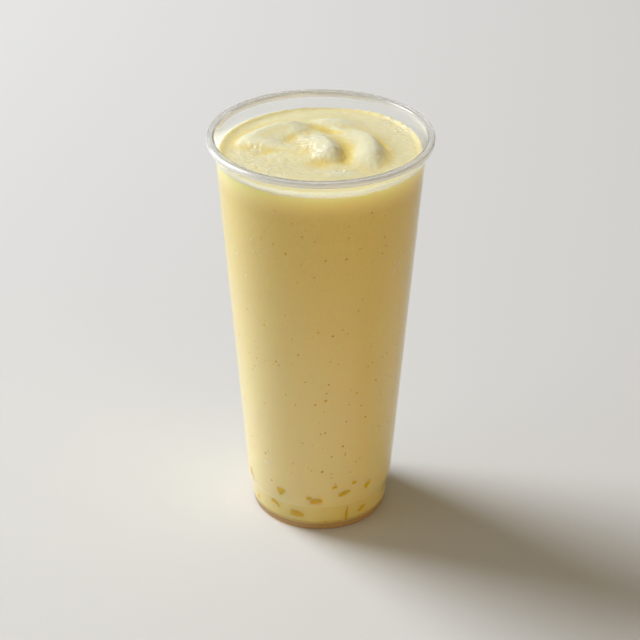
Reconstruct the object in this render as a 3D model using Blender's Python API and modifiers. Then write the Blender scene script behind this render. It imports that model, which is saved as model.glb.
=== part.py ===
"""A mango smoothie in a tall clear takeaway cup. Metres, +Z up, foot of the cup on z = 0."""

import math
from typing import NamedTuple

import bmesh
import bpy

MM = 0.001

# Cup: a tall tapered cup of thin clear plastic with a rolled rim and a narrower base
CUP_HEIGHT = 178.5 * MM
WALL = 0.8 * MM
WALL_TOP_RADIUS = 44.2 * MM
SHOULDER_RADIUS = 32.0 * MM
SHOULDER_Z = 13.4 * MM
SHOULDER_RISE = 4.8 * MM
FLARE = 0.35 * MM
FLARE_DEPTH = 12.0 * MM

# Rolled rim: an upside-down channel along the mouth
RIM_RADIUS = 47.5 * MM
RIM_DEPTH = 2.3 * MM
RIM_CROWN = 0.9 * MM
RIM_SKIN = 0.9 * MM
RIM_SETBACK = 0.2 * MM
CHANNEL_FILLET = 0.3 * MM

# Base: a plug below the shoulder, on a flat ring round a raised floor
BASE_TOP_RADIUS = 31.1 * MM
BASE_LOW_RADIUS = 29.9 * MM
FOOT_OUTER_RADIUS = 29.0 * MM
FOOT_INNER_RADIUS = 26.8 * MM
FOOT_ROUND = 1.6 * MM
FOOT_DRAFT = 0.6 * MM
FLOOR_UNDERSIDE = 1.6 * MM
FLOOR = 1.0 * MM
FLOOR_CORNER = 1.4 * MM

# Drink: thick enough to stand in folds above its level, and rounded down where it meets the wall
DRINK_LEVEL = 172.1 * MM
EDGE_WIDTH = 2.2 * MM
EDGE_DROP = 1.4 * MM
FIT_GAP = 0.3 * MM
DOME_HEIGHT = 2.0 * MM
DOME_RADIUS = 40.0 * MM
DOME_CENTRE = (0.0, -3.0 * MM)
FOLD_FADE = 6.0 * MM

# Resolution of the turned shapes
CUP_STEPS = 64
DRINK_STEPS = 72
SURFACE_RINGS = 18
EDGE_STEPS = 4
CORNER_STEPS = 3
CROWN_STEPS = 8
FLARE_STEPS = 3
SHOULDER_ANGLES = (30, 55, 75, 90)
JOIN_DISTANCE = 0.01 * MM
SHARP_ANGLE = 40


class Fold(NamedTuple):
    """A fold of the drink, in millimetres, with its crest on an arc through three points."""

    start: tuple
    middle: tuple
    end: tuple
    height: float
    reach_in: float
    reach_out: float
    taper: float


class Hollow(NamedTuple):
    """A hollow between folds, in millimetres, with its direction in degrees."""

    centre: tuple
    depth: float
    half_length: float
    half_width: float
    direction: float


# Left by pouring: reach_in is towards the centre of the crest's arc, and taper is the share of half
# the crest over which its ends die away
FOLDS = (
    Fold((-34, -2), (-24, 14.5), (-2, 21), height=2.3, reach_in=15.0, reach_out=3.0, taper=0.5),
    Fold((-7, 20), (5, 24), (18, 18), height=1.4, reach_in=4.5, reach_out=4.5, taper=0.9),
    Fold((6.5, -24), (3, -6), (-8.5, 11.5), height=3.8, reach_in=7.5, reach_out=5.0, taper=0.85),
    Fold((17, -24), (21.5, -3), (9, 18), height=3.4, reach_in=9.0, reach_out=4.2, taper=0.8),
    Fold((0, -28.5), (9, -26.5), (18, -28.5), height=0.5, reach_in=3.0, reach_out=2.0, taper=0.9),
)
HOLLOWS = (
    Hollow((-11.3, 5.5), depth=2.6, half_length=6.0, half_width=3.2, direction=50),
    Hollow((3, 15.5), depth=1.5, half_length=6.0, half_width=3.0, direction=-38),
    Hollow((12, -13), depth=1.2, half_length=6.0, half_width=3.0, direction=80),
    Hollow((-23, -7), depth=0.5, half_length=6.0, half_width=3.0, direction=20),
)


def smooth_step(value):
    """Ease from 0 to 1 with flat ends."""
    value = min(max(value, 0.0), 1.0)
    return value * value * (3 - 2 * value)


def ellipse_arc(centre, radii, start, end, steps):
    """Points (r, z) on an ellipse from one angle to another, in degrees."""
    points = []
    for i in range(steps + 1):
        angle = math.radians(start + (end - start) * i / steps)
        points.append((centre[0] + radii[0] * math.cos(angle), centre[1] + radii[1] * math.sin(angle)))
    return points


def outer_radius(z):
    """Radius of the cup's outer wall at a height above the foot."""
    top = CUP_HEIGHT - RIM_DEPTH
    if z < SHOULDER_Z:
        share = (z - FOOT_ROUND) / (SHOULDER_Z - FOOT_ROUND)
        return BASE_LOW_RADIUS + (BASE_TOP_RADIUS - BASE_LOW_RADIUS) * share
    slope = (WALL_TOP_RADIUS - SHOULDER_RADIUS) / (top - SHOULDER_Z)
    radius = SHOULDER_RADIUS + slope * (z - SHOULDER_Z)
    if z < SHOULDER_Z + SHOULDER_RISE:
        rise = (z - SHOULDER_Z) / SHOULDER_RISE
        rounding = math.sqrt(1 - (1 - rise) ** 2)
        radius = BASE_TOP_RADIUS + (radius - BASE_TOP_RADIUS) * rounding
    return radius + FLARE * smooth_step((z - top + FLARE_DEPTH) / FLARE_DEPTH)


def wall_heights():
    """Heights at which the wall bends, from the rim's underside down to the foot's rounding."""
    top = CUP_HEIGHT - RIM_DEPTH
    flare = [top - FLARE_DEPTH * i / FLARE_STEPS for i in range(FLARE_STEPS + 1)]
    shoulder_top = SHOULDER_Z + SHOULDER_RISE
    middle = (flare[-1] + shoulder_top) / 2
    shoulder = [shoulder_top - SHOULDER_RISE * math.sin(math.radians(a)) for a in SHOULDER_ANGLES]
    base = [(SHOULDER_Z + FOOT_ROUND) / 2, FOOT_ROUND]
    return [*flare, middle, shoulder_top, *shoulder, *base]


def floor_corner(inset):
    """Points from the wall's foot round to the floor, at a distance inside the cup's wall."""
    floor = FLOOR_UNDERSIDE + FLOOR + inset
    radius = outer_radius(floor + FLOOR_CORNER) - WALL - inset
    centre = (radius - FLOOR_CORNER, floor + FLOOR_CORNER)
    return ellipse_arc(centre, (FLOOR_CORNER, FLOOR_CORNER), 0, -90, CORNER_STEPS)


def rim_profile():
    """The rolled rim's section, from the inside of the mouth over the crown and into the channel."""
    low = CUP_HEIGHT - RIM_DEPTH
    crown_side = CUP_HEIGHT - RIM_CROWN
    inner = outer_radius(low) - WALL + RIM_SETBACK
    half = (RIM_RADIUS - inner) / 2
    crown = ellipse_arc((inner + half, crown_side), (half, RIM_CROWN), 180, 0, CROWN_STEPS)
    channel_top = crown_side - RIM_SETBACK
    skirt_inside = RIM_RADIUS - RIM_SKIN
    channel = [
        (RIM_RADIUS, low),
        (skirt_inside, low),
        (skirt_inside, channel_top),
        (outer_radius(low) + CHANNEL_FILLET, channel_top),
    ]
    return crown + channel


def cup_profile():
    """The cup's section from the middle of its floor, up inside, over the rim and down to the foot."""
    corner = floor_corner(0.0)
    corner.reverse()
    corner_top = corner[-1][1]
    rising = [z for z in reversed(wall_heights()) if z > corner_top]
    inside = [(0.0, corner[0][1])] + corner + [(outer_radius(z) - WALL, z) for z in rising]

    outside = [(outer_radius(z), z) for z in wall_heights()]
    foot_width = BASE_LOW_RADIUS - FOOT_OUTER_RADIUS
    foot = ellipse_arc((FOOT_OUTER_RADIUS, FOOT_ROUND), (foot_width, FOOT_ROUND), 0, -90, CORNER_STEPS)
    underside = [
        (FOOT_INNER_RADIUS, 0.0),
        (FOOT_INNER_RADIUS - FOOT_DRAFT, FLOOR_UNDERSIDE),
        (0.0, FLOOR_UNDERSIDE),
    ]
    return inside + rim_profile() + outside + foot[1:] + underside


def drink_profile():
    """The drink's section from the middle of its surface, out to the wall and down to the floor."""
    contact = DRINK_LEVEL - EDGE_DROP
    edge = outer_radius(contact) - WALL - FIT_GAP
    flat = edge - EDGE_WIDTH
    surface = [(flat * i / SURFACE_RINGS, DRINK_LEVEL) for i in range(SURFACE_RINGS)]
    surface += ellipse_arc((flat, contact), (EDGE_WIDTH, EDGE_DROP), 90, 0, EDGE_STEPS)

    corner = floor_corner(FIT_GAP)
    falling = [z for z in wall_heights() if corner[0][1] < z < contact]
    sides = [(outer_radius(z) - WALL - FIT_GAP, z) for z in falling]
    return surface + sides + corner + [(0.0, corner[-1][1])]


def circle_through(first, second, third):
    """Centre and radius of the circle through three points."""
    (x1, y1), (x2, y2), (x3, y3) = first, second, third
    a, b, c, d = x2 - x1, y2 - y1, x3 - x1, y3 - y1
    twice_area = 2 * (a * d - b * c)
    from_x = (d * (a * a + b * b) - b * (c * c + d * d)) / twice_area
    from_y = (a * (c * c + d * d) - c * (a * a + b * b)) / twice_area
    return (x1 + from_x, y1 + from_y), math.hypot(from_x, from_y)


def turn_between(start, end):
    """Turn from one angle to another, between minus and plus half a turn."""
    return (end - start + math.pi) % math.tau - math.pi


def fold_height(fold, x, y):
    """Height that one fold adds at a point, steeper on the side with the shorter reach."""
    points = (fold.start, fold.middle, fold.end)
    (centre_x, centre_y), radius = circle_through(*points)
    start, middle, end = (math.atan2(p[1] - centre_y, p[0] - centre_x) for p in points)
    turn = turn_between(middle, math.atan2(y - centre_y, x - centre_x))
    to_start = turn_between(middle, start)
    side = to_start if turn * to_start > 0 else turn_between(middle, end)
    share = min(turn / side, 1.0)
    nearest_x = centre_x + radius * math.cos(middle + share * side)
    nearest_y = centre_y + radius * math.sin(middle + share * side)
    distance = max(math.hypot(x - nearest_x, y - nearest_y), 1e-6)
    outward = (math.hypot(x - centre_x, y - centre_y) - radius) / distance
    reach = fold.reach_in + (fold.reach_out - fold.reach_in) * smooth_step((1 + outward) / 2)
    return fold.height * smooth_step((1 - share) / fold.taper) * math.exp(-((distance / reach) ** 2))


def hollow_depth(hollow, x, y):
    """Depth that one hollow takes away at a point."""
    cosine, sine = math.cos(math.radians(hollow.direction)), math.sin(math.radians(hollow.direction))
    away_x, away_y = x - hollow.centre[0], y - hollow.centre[1]
    along = (away_x * cosine + away_y * sine) / hollow.half_length
    across = (away_y * cosine - away_x * sine) / hollow.half_width
    return hollow.depth * math.exp(-along * along - across * across)


def surface_rise(x, y):
    """Height that the pouring left over the drink's level, none where the surface meets the wall."""
    from_centre = math.hypot(x - DOME_CENTRE[0], y - DOME_CENTRE[1])
    dome = DOME_HEIGHT * max(1 - (from_centre / DOME_RADIUS) ** 2, 0.0) ** 1.5
    folds = sum(fold_height(fold, x / MM, y / MM) for fold in FOLDS)
    hollows = sum(hollow_depth(hollow, x / MM, y / MM) for hollow in HOLLOWS)
    wall = outer_radius(DRINK_LEVEL) - WALL - FIT_GAP
    fade = smooth_step((wall - math.hypot(x, y)) / FOLD_FADE)
    return (dome + (folds - hollows) * MM) * fade


def make_material(name, colour, roughness, transmission=0.0, ior=1.45):
    """A Principled material with one colour."""
    material = bpy.data.materials.new(name)
    material.use_nodes = True
    shader = material.node_tree.nodes["Principled BSDF"]
    shader.inputs["Base Color"].default_value = (*colour, 1.0)
    shader.inputs["Roughness"].default_value = roughness
    shader.inputs["Metallic"].default_value = 0.0
    shader.inputs["Transmission Weight"].default_value = transmission
    shader.inputs["IOR"].default_value = ior
    return material


def turned_object(name, profile, steps, collection, material):
    """Turn a profile of (r, z) points once round the Z axis and keep the result as a mesh."""
    outline = bpy.data.meshes.new(f"{name}_profile")
    edges = [(i, i + 1) for i in range(len(profile) - 1)]
    outline.from_pydata([(r, 0.0, z) for r, z in profile], edges, [])
    guide = bpy.data.objects.new(f"{name}_profile", outline)
    collection.objects.link(guide)

    screw = guide.modifiers.new("Turn", "SCREW")
    screw.axis = "Z"
    screw.angle = math.tau
    screw.steps = steps
    screw.render_steps = steps
    screw.use_merge_vertices = True
    screw.merge_threshold = JOIN_DISTANCE

    turned = bpy.data.meshes.new_from_object(guide.evaluated_get(bpy.context.evaluated_depsgraph_get()))
    turned.name = name
    bpy.data.objects.remove(guide)
    bpy.data.meshes.remove(outline)

    mesh = bmesh.new()
    mesh.from_mesh(turned)
    bmesh.ops.remove_doubles(mesh, verts=mesh.verts, dist=JOIN_DISTANCE)
    bmesh.ops.recalc_face_normals(mesh, faces=mesh.faces)
    mesh.to_mesh(turned)
    mesh.free()

    turned.materials.clear()
    turned.materials.append(material)
    turned.shade_smooth()
    turned.set_sharp_from_angle(angle=math.radians(SHARP_ANGLE))
    made = bpy.data.objects.new(name, turned)
    collection.objects.link(made)
    return made


def make_cup(collection):
    """The clear cup, turned in one piece."""
    plastic = make_material("clear_plastic", (0.95, 0.96, 0.95), 0.04, transmission=1.0, ior=1.49)
    return turned_object("cup", cup_profile(), CUP_STEPS, collection, plastic)


def make_drink(collection):
    """The smoothie, turned to fit the cup, with its poured folds raised on the surface."""
    pulp = make_material("smoothie", (0.86, 0.70, 0.34), 0.35)
    drink = turned_object("smoothie", drink_profile(), DRINK_STEPS, collection, pulp)
    contact = DRINK_LEVEL - EDGE_DROP
    for vertex in drink.data.vertices:
        x, y, z = vertex.co
        if z > contact + JOIN_DISTANCE:
            vertex.co.z = z + surface_rise(x, y)
    return drink


def main():
    """Build the cup and the drink."""
    for old in list(bpy.data.objects):
        bpy.data.objects.remove(old)
    collection = bpy.data.collections.new("mango_smoothie")
    bpy.context.scene.collection.children.link(collection)
    make_cup(collection)
    make_drink(collection)


main()
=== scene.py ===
"""Dresses the mango smoothie: the clear cup, the poured drink and the fruit, pulp and foam at its wall."""

import logging
import math
import random
from dataclasses import dataclass, field
from enum import Enum
from functools import lru_cache

import bpy
from mathutils import Matrix, Vector, noise


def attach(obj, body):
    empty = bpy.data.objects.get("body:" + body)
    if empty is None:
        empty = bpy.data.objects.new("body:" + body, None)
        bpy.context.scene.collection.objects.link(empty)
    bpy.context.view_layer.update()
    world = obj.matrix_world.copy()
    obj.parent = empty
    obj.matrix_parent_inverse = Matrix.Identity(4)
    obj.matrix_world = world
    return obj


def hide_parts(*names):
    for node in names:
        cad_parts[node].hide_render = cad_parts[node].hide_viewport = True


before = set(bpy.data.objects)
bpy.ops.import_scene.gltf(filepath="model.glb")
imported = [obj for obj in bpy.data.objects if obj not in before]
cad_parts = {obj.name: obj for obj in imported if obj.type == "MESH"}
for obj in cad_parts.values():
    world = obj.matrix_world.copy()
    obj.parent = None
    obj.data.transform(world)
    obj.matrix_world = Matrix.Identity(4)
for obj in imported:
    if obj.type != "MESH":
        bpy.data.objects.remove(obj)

MM = 0.001
BODY = "root"
HOLLOW_MARK = "hollow"
WET_MARK = "wet"

Point = tuple[float, float]


def smooth_step(value: float) -> float:
    """Ease from 0 to 1 with flat ends.

    Args:
        value: Position on the ramp, held to 0 and 1 outside it.

    Returns:
        The eased value.
    """
    value = min(max(value, 0.0), 1.0)
    return value * value * (3 - 2 * value)


def ellipse_arc(centre: Point, radii: Point, start: float, end: float, steps: int) -> list[Point]:
    """Points (r, z) on an ellipse.

    Args:
        centre: Centre of the ellipse.
        radii: Its half widths along r and z.
        start: First angle, in degrees.
        end: Last angle, in degrees.
        steps: Number of equal turns between them.

    Returns:
        The points, both ends included.
    """
    points = []
    for i in range(steps + 1):
        angle = math.radians(start + (end - start) * i / steps)
        points.append((centre[0] + radii[0] * math.cos(angle), centre[1] + radii[1] * math.sin(angle)))
    return points


def line_points(start: Point, end: Point, steps: int) -> list[Point]:
    """Points (r, z) spaced evenly from a start that is left out to an end that is included.

    Args:
        start: Where the line begins.
        end: Where it ends.
        steps: Number of points.

    Returns:
        The points after the start.
    """
    return [
        (start[0] + (end[0] - start[0]) * i / steps, start[1] + (end[1] - start[1]) * i / steps)
        for i in range(1, steps + 1)
    ]


def wall_frame(azimuth: float, radius: float, height: float, turn: float = 0.0) -> Matrix:
    """A frame on the cup's wall, with its X along the wall, Y up it and Z outwards.

    Args:
        azimuth: Degrees from the front of the cup towards +X.
        radius: Distance from the cup's axis, in metres.
        height: Height above the foot, in metres.
        turn: Degrees by which X rises from the level.

    Returns:
        The frame as a matrix.
    """
    angle = math.radians(azimuth)
    outward = Vector((math.sin(angle), -math.cos(angle), 0.0))
    along = Vector((math.cos(angle), math.sin(angle), 0.0))
    rise = Vector((0.0, 0.0, 1.0))
    cosine, sine = math.cos(math.radians(turn)), math.sin(math.radians(turn))
    matrix = Matrix((along * cosine + rise * sine, rise * cosine - along * sine, outward)).transposed().to_4x4()
    matrix.translation = outward * radius + rise * height
    return matrix


def deselect_all() -> None:
    """Leave no object selected."""
    bpy.ops.object.select_all(action="DESELECT")


def settle(piece: bpy.types.Object) -> None:
    """Put a piece's place into its mesh, so that its object stands at the origin.

    Args:
        piece: The finished piece.
    """
    deselect_all()
    piece.select_set(True)
    bpy.context.view_layer.objects.active = piece
    bpy.ops.object.transform_apply(location=True, rotation=True, scale=True)


def turn_profile(name: str, profile: list[Point], steps: int) -> bpy.types.Object:
    """Turn a profile once round the Z axis into a closed mesh.

    Args:
        name: Name of the piece.
        profile: Its section as points (r, z), from axis to axis or back to its start.
        steps: Number of steps in the full turn.

    Returns:
        The turned piece, smooth apart from its sharp edges.
    """
    deselect_all()
    first_r, first_z = profile[0]
    bpy.ops.mesh.primitive_plane_add(size=MM, location=(first_r, 0.0, first_z))
    piece = bpy.context.object
    piece.name = name
    piece.data.name = name
    bpy.ops.object.mode_set(mode="EDIT")
    bpy.ops.mesh.select_all(action="SELECT")
    bpy.ops.mesh.merge(type="CENTER")
    for (r, z), (next_r, next_z) in zip(profile, profile[1:]):
        bpy.ops.mesh.extrude_vertices_move(TRANSFORM_OT_translate={"value": (next_r - r, 0.0, next_z - z)})
    bpy.ops.mesh.select_all(action="SELECT")
    bpy.ops.mesh.spin(steps=steps, angle=math.tau, center=(0.0, 0.0, 0.0), axis=(0.0, 0.0, 1.0))
    bpy.ops.mesh.select_all(action="SELECT")
    bpy.ops.mesh.remove_doubles(threshold=0.001 * MM)
    bpy.ops.mesh.normals_make_consistent(inside=False)
    bpy.ops.object.mode_set(mode="OBJECT")
    settle(piece)
    bpy.ops.object.shade_smooth_by_angle(angle=math.radians(35))
    return piece


def join_pieces(name: str, pieces: list[bpy.types.Object]) -> bpy.types.Object:
    """Join pieces into one.

    Args:
        name: Name of the joined piece.
        pieces: The pieces, with their places in their meshes.

    Returns:
        The joined piece.
    """
    deselect_all()
    for piece in pieces:
        piece.select_set(True)
    bpy.context.view_layer.objects.active = pieces[0]
    bpy.ops.object.join()
    joined = bpy.context.object
    joined.name = name
    joined.data.name = name
    return joined


def join_copies(name: str, master: bpy.types.Object, places: list[Matrix]) -> bpy.types.Object:
    """Copy a master to many places and join the copies into one piece. The master is removed.

    Args:
        name: Name of the joined piece.
        master: The modelled shape, at the origin.
        places: Where each copy goes, with its size.

    Returns:
        The joined piece.
    """
    copies = []
    for place in places:
        copy = bpy.data.objects.new(name, master.data.copy())
        bpy.context.collection.objects.link(copy)
        copy.data.transform(place)
        copies.append(copy)
    bpy.data.objects.remove(master)
    return join_pieces(name, copies)


def shape_master(master: bpy.types.Object, bevel: float, cuts: int, smoothness: float) -> bpy.types.Object:
    """Wear the edges of a master, round it a little and turn its faces outwards.

    Args:
        master: The rough shape, at the origin.
        bevel: Width of the worn edges, or 0.
        cuts: Number of cuts that subdivide each edge.
        smoothness: How far the cuts swell the shape.

    Returns:
        The finished master.
    """
    bpy.ops.object.mode_set(mode="EDIT")
    bpy.ops.mesh.select_all(action="SELECT")
    if bevel > 0:
        bpy.ops.mesh.bevel(offset=bevel, segments=3, affect="EDGES")
    bpy.ops.mesh.select_all(action="SELECT")
    bpy.ops.mesh.subdivide(number_cuts=cuts, smoothness=smoothness)
    bpy.ops.mesh.select_all(action="SELECT")
    bpy.ops.mesh.normals_make_consistent(inside=False)
    bpy.ops.object.mode_set(mode="OBJECT")
    bpy.ops.object.shade_smooth_by_angle(angle=math.radians(50))
    return master


class NodeSheet:
    """The nodes of one material, added and wired in order."""

    def __init__(self, name: str) -> None:
        """Start an empty material.

        Args:
            name: Name of the material.
        """
        self.material = bpy.data.materials.new(name)
        self.material.use_nodes = True
        self.tree = self.material.node_tree
        self.tree.nodes.clear()
        self.output = self.add("OutputMaterial")
        self.place = self.add("TexCoord").outputs["Object"]

    def add(self, kind: str, **settings: object) -> bpy.types.Node:
        """Add a node.

        Args:
            kind: The node's type, without its ShaderNode prefix.
            settings: Properties of the node, by name.

        Returns:
            The new node.
        """
        node = self.tree.nodes.new("ShaderNode" + kind)
        for key, value in settings.items():
            setattr(node, key, value)
        return node

    def put(self, socket: bpy.types.NodeSocket, value: object) -> None:
        """Wire a socket into an input, or set the input to a plain value.

        Args:
            socket: The input.
            value: An output socket, a number, a colour or a vector.
        """
        if isinstance(value, bpy.types.NodeSocket):
            self.tree.links.new(value, socket)
        elif socket.type == "RGBA" and len(value) == 3:
            socket.default_value = (*value, 1.0)
        else:
            socket.default_value = value

    def noise(
        self, size: float, detail: float = 3.0, rough: float = 0.5, stretch: Vector | None = None
    ) -> bpy.types.NodeSocket:
        """Noise over the piece.

        Args:
            size: Rough size of its lumps, in metres.
            detail: Number of finer layers.
            rough: Strength of the finer layers.
            stretch: Scale of the pattern along each axis, or none.

        Returns:
            The noise value's socket, about 0.5 on average.
        """
        place = self.place
        if stretch is not None:
            mapping = self.add("Mapping")
            self.put(mapping.inputs["Vector"], place)
            self.put(mapping.inputs["Scale"], stretch)
            place = mapping.outputs["Vector"]
        node = self.add("TexNoise")
        self.put(node.inputs["Vector"], place)
        self.put(node.inputs["Scale"], 1.0 / size)
        self.put(node.inputs["Detail"], detail)
        self.put(node.inputs["Roughness"], rough)
        return node.outputs["Fac"]

    def stored(self, name: str) -> bpy.types.NodeSocket:
        """A value stored on the piece's points.

        Args:
            name: Name of the stored value.

        Returns:
            The value's socket.
        """
        return self.add("Attribute", attribute_name=name).outputs["Fac"]

    def ramp(
        self, value: object, low: float, high: float, start: float = 0.0, end: float = 1.0
    ) -> bpy.types.NodeSocket:
        """Ease a value from one range to another.

        Args:
            value: The value's socket.
            low: Where the ramp starts.
            high: Where it ends.
            start: Result at and before the start.
            end: Result at and after the end.

        Returns:
            The eased value's socket.
        """
        node = self.add("MapRange", interpolation_type="SMOOTHSTEP")
        settings = {"Value": value, "From Min": low, "From Max": high, "To Min": start, "To Max": end}
        for key, item in settings.items():
            self.put(node.inputs[key], item)
        return node.outputs["Result"]

    def math(self, operation: str, first: object, second: object = 0.0) -> bpy.types.NodeSocket:
        """Combine two values.

        Args:
            operation: Name of the Math node's operation.
            first: First value.
            second: Second value.

        Returns:
            The result's socket.
        """
        node = self.add("Math", operation=operation)
        self.put(node.inputs[0], first)
        self.put(node.inputs[1], second)
        return node.outputs[0]

    def blend(self, share: object, first: object, second: object) -> bpy.types.NodeSocket:
        """Mix two colours.

        Args:
            share: Share of the second, from 0 to 1.
            first: First colour.
            second: Second colour.

        Returns:
            The mixed colour's socket.
        """
        node = self.add("Mix", data_type="RGBA")
        self.put(node.inputs["Factor"], share)
        self.put(node.inputs[6], first)
        self.put(node.inputs[7], second)
        return node.outputs[2]

    def bump(
        self, height: object, depth: float, strength: object = 1.0, under: object = None
    ) -> bpy.types.NodeSocket:
        """Turn a height pattern into a normal.

        Args:
            height: The pattern's socket.
            depth: Height of the full pattern, in metres.
            strength: How much of it shows.
            under: A normal from a coarser bump, or none.

        Returns:
            The normal's socket.
        """
        node = self.add("Bump")
        self.put(node.inputs["Height"], height)
        self.put(node.inputs["Distance"], depth)
        self.put(node.inputs["Strength"], strength)
        if under is not None:
            self.put(node.inputs["Normal"], under)
        return node.outputs["Normal"]

    def principled(self, **values: object) -> bpy.types.Node:
        """Add a Principled shader.

        Args:
            values: Its inputs, named with underscores for spaces.

        Returns:
            The shader node.
        """
        node = self.add("BsdfPrincipled")
        for key, value in values.items():
            self.put(node.inputs[key.replace("_", " ")], value)
        return node

    def let_light_past(self, shader: bpy.types.Node, passed: tuple[float, float, float]) -> bpy.types.Material:
        """Finish a clear material whose shadow is as light as real thin plastic's.

        Args:
            shader: The clear shader.
            passed: Share of the light that each face lets past.

        Returns:
            The finished material.
        """
        clear = self.add("BsdfTransparent")
        self.put(clear.inputs["Color"], passed)
        path = self.add("LightPath")
        mix = self.add("MixShader")
        self.put(mix.inputs[0], path.outputs["Is Shadow Ray"])
        self.put(mix.inputs[1], shader.outputs[0])
        self.put(mix.inputs[2], clear.outputs[0])
        return self.finish(mix)

    def finish(self, shader: bpy.types.Node) -> bpy.types.Material:
        """Wire the surface and return the material.

        Args:
            shader: The surface's shader node.

        Returns:
            The finished material.
        """
        self.put(self.output.inputs["Surface"], shader.outputs[0])
        return self.material


@dataclass(frozen=True)
class CupForm:
    """Sizes of the cup, in metres, which the drink and all at its wall follow."""

    height: float = 178.5 * MM
    wall: float = 0.8 * MM
    wall_top_radius: float = 44.2 * MM
    shoulder_radius: float = 32.0 * MM
    shoulder_z: float = 13.4 * MM
    shoulder_rise: float = 4.8 * MM
    flare: float = 0.35 * MM
    flare_depth: float = 12.0 * MM
    rim_radius: float = 47.5 * MM
    rim_depth: float = 2.3 * MM
    base_top_radius: float = 31.1 * MM
    base_low_radius: float = 29.9 * MM
    foot_outer_radius: float = 29.0 * MM
    foot_inner_radius: float = 26.8 * MM
    foot_round: float = 1.6 * MM
    foot_draft: float = 0.6 * MM
    floor_underside: float = 1.6 * MM
    floor: float = 1.0 * MM
    floor_corner: float = 1.4 * MM
    level: float = 172.1 * MM
    edge_width: float = 2.2 * MM
    edge_drop: float = 1.4 * MM

    @property
    def contact(self) -> float:
        """Height at which the drink's surface meets the wall."""
        return self.level - self.edge_drop

    @property
    def floor_top(self) -> float:
        """Height of the floor that the drink stands on."""
        return self.floor_underside + self.floor

    def outer_radius(self, z: float) -> float:
        """Radius of the wall's outer face.

        Args:
            z: Height above the foot.

        Returns:
            The radius there.
        """
        top = self.height - self.rim_depth
        if z < self.shoulder_z:
            share = (z - self.foot_round) / (self.shoulder_z - self.foot_round)
            return self.base_low_radius + (self.base_top_radius - self.base_low_radius) * share
        slope = (self.wall_top_radius - self.shoulder_radius) / (top - self.shoulder_z)
        radius = self.shoulder_radius + slope * (z - self.shoulder_z)
        if z < self.shoulder_z + self.shoulder_rise:
            rise = (z - self.shoulder_z) / self.shoulder_rise
            radius = self.base_top_radius + (radius - self.base_top_radius) * math.sqrt(1 - (1 - rise) ** 2)
        return radius + self.flare * smooth_step((z - top + self.flare_depth) / self.flare_depth)

    def inner_radius(self, z: float) -> float:
        """Radius of the wall's inner face at a height."""
        return self.outer_radius(z) - self.wall

    def wall_heights(self, low: float, high: float, spacing: float) -> list[float]:
        """Heights for the rings of the wall, closer together round the shoulder.

        Args:
            low: Lowest height.
            high: Highest height.
            spacing: Distance between the rings of the straight stretches.

        Returns:
            The heights from low to high.
        """
        heights = [low]
        bend_low, bend_high = self.shoulder_z - 0.6 * MM, self.shoulder_z + self.shoulder_rise + MM
        while heights[-1] < high - 0.2 * MM:
            z = heights[-1]
            near = bend_low < z + 0.01 * MM and z < bend_high
            heights.append(min(z + (0.3 * MM if near else spacing), high))
        return heights


@dataclass(frozen=True)
class Halo:
    """A soft patch of deeper colour, where fruit lies close behind the drink's skin."""

    place: Matrix
    radii: tuple[float, float, float]
    strength: float


@dataclass(frozen=True)
class ClearPlastic:
    """Thin clear plastic, faintly uneven, which lets most of the light through and dims it a little."""

    name: str = "clear_plastic_gloss"
    tint: tuple[float, float, float] = (0.985, 0.99, 0.985)
    ior: float = 1.42
    roughness: float = 0.02
    passed_light: tuple[float, float, float] = (0.88, 0.87, 0.84)
    wave_size: float = 9.0 * MM
    wave_depth: float = 0.05 * MM

    def build(self) -> bpy.types.Material:
        """Build the material."""
        sheet = NodeSheet(self.name)
        glass = sheet.add("BsdfGlass")
        sheet.put(glass.inputs["Color"], self.tint)
        sheet.put(glass.inputs["Roughness"], self.roughness)
        sheet.put(glass.inputs["IOR"], self.ior)
        sheet.put(glass.inputs["Normal"], sheet.bump(sheet.noise(self.wave_size, 1.0), self.wave_depth))
        return sheet.let_light_past(glass, self.passed_light)


@dataclass(frozen=True)
class FrostedPlastic:
    """The rim's thicker plastic, a little milky, so that it spreads the light that it lets through."""

    name: str = "clear_plastic_frosted"
    colour: tuple[float, float, float] = (0.94, 0.945, 0.95)
    clear_share: float = 0.68
    roughness: float = 0.2
    ior: float = 1.42
    gloss: float = 1.0
    gloss_roughness: float = 0.05
    passed_light: tuple[float, float, float] = (0.68, 0.66, 0.60)
    mottle_size: float = 3.0 * MM
    mottle_depth: float = 0.03 * MM

    def build(self) -> bpy.types.Material:
        """Build the material."""
        sheet = NodeSheet(self.name)
        shader = sheet.principled(
            Base_Color=self.colour,
            Roughness=self.roughness,
            IOR=self.ior,
            Transmission_Weight=self.clear_share,
            Coat_Weight=self.gloss,
            Coat_Roughness=self.gloss_roughness,
            Coat_IOR=1.5,
            Normal=sheet.bump(sheet.noise(self.mottle_size, 2.0), self.mottle_depth),
        )
        return sheet.let_light_past(shader, self.passed_light)


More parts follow.
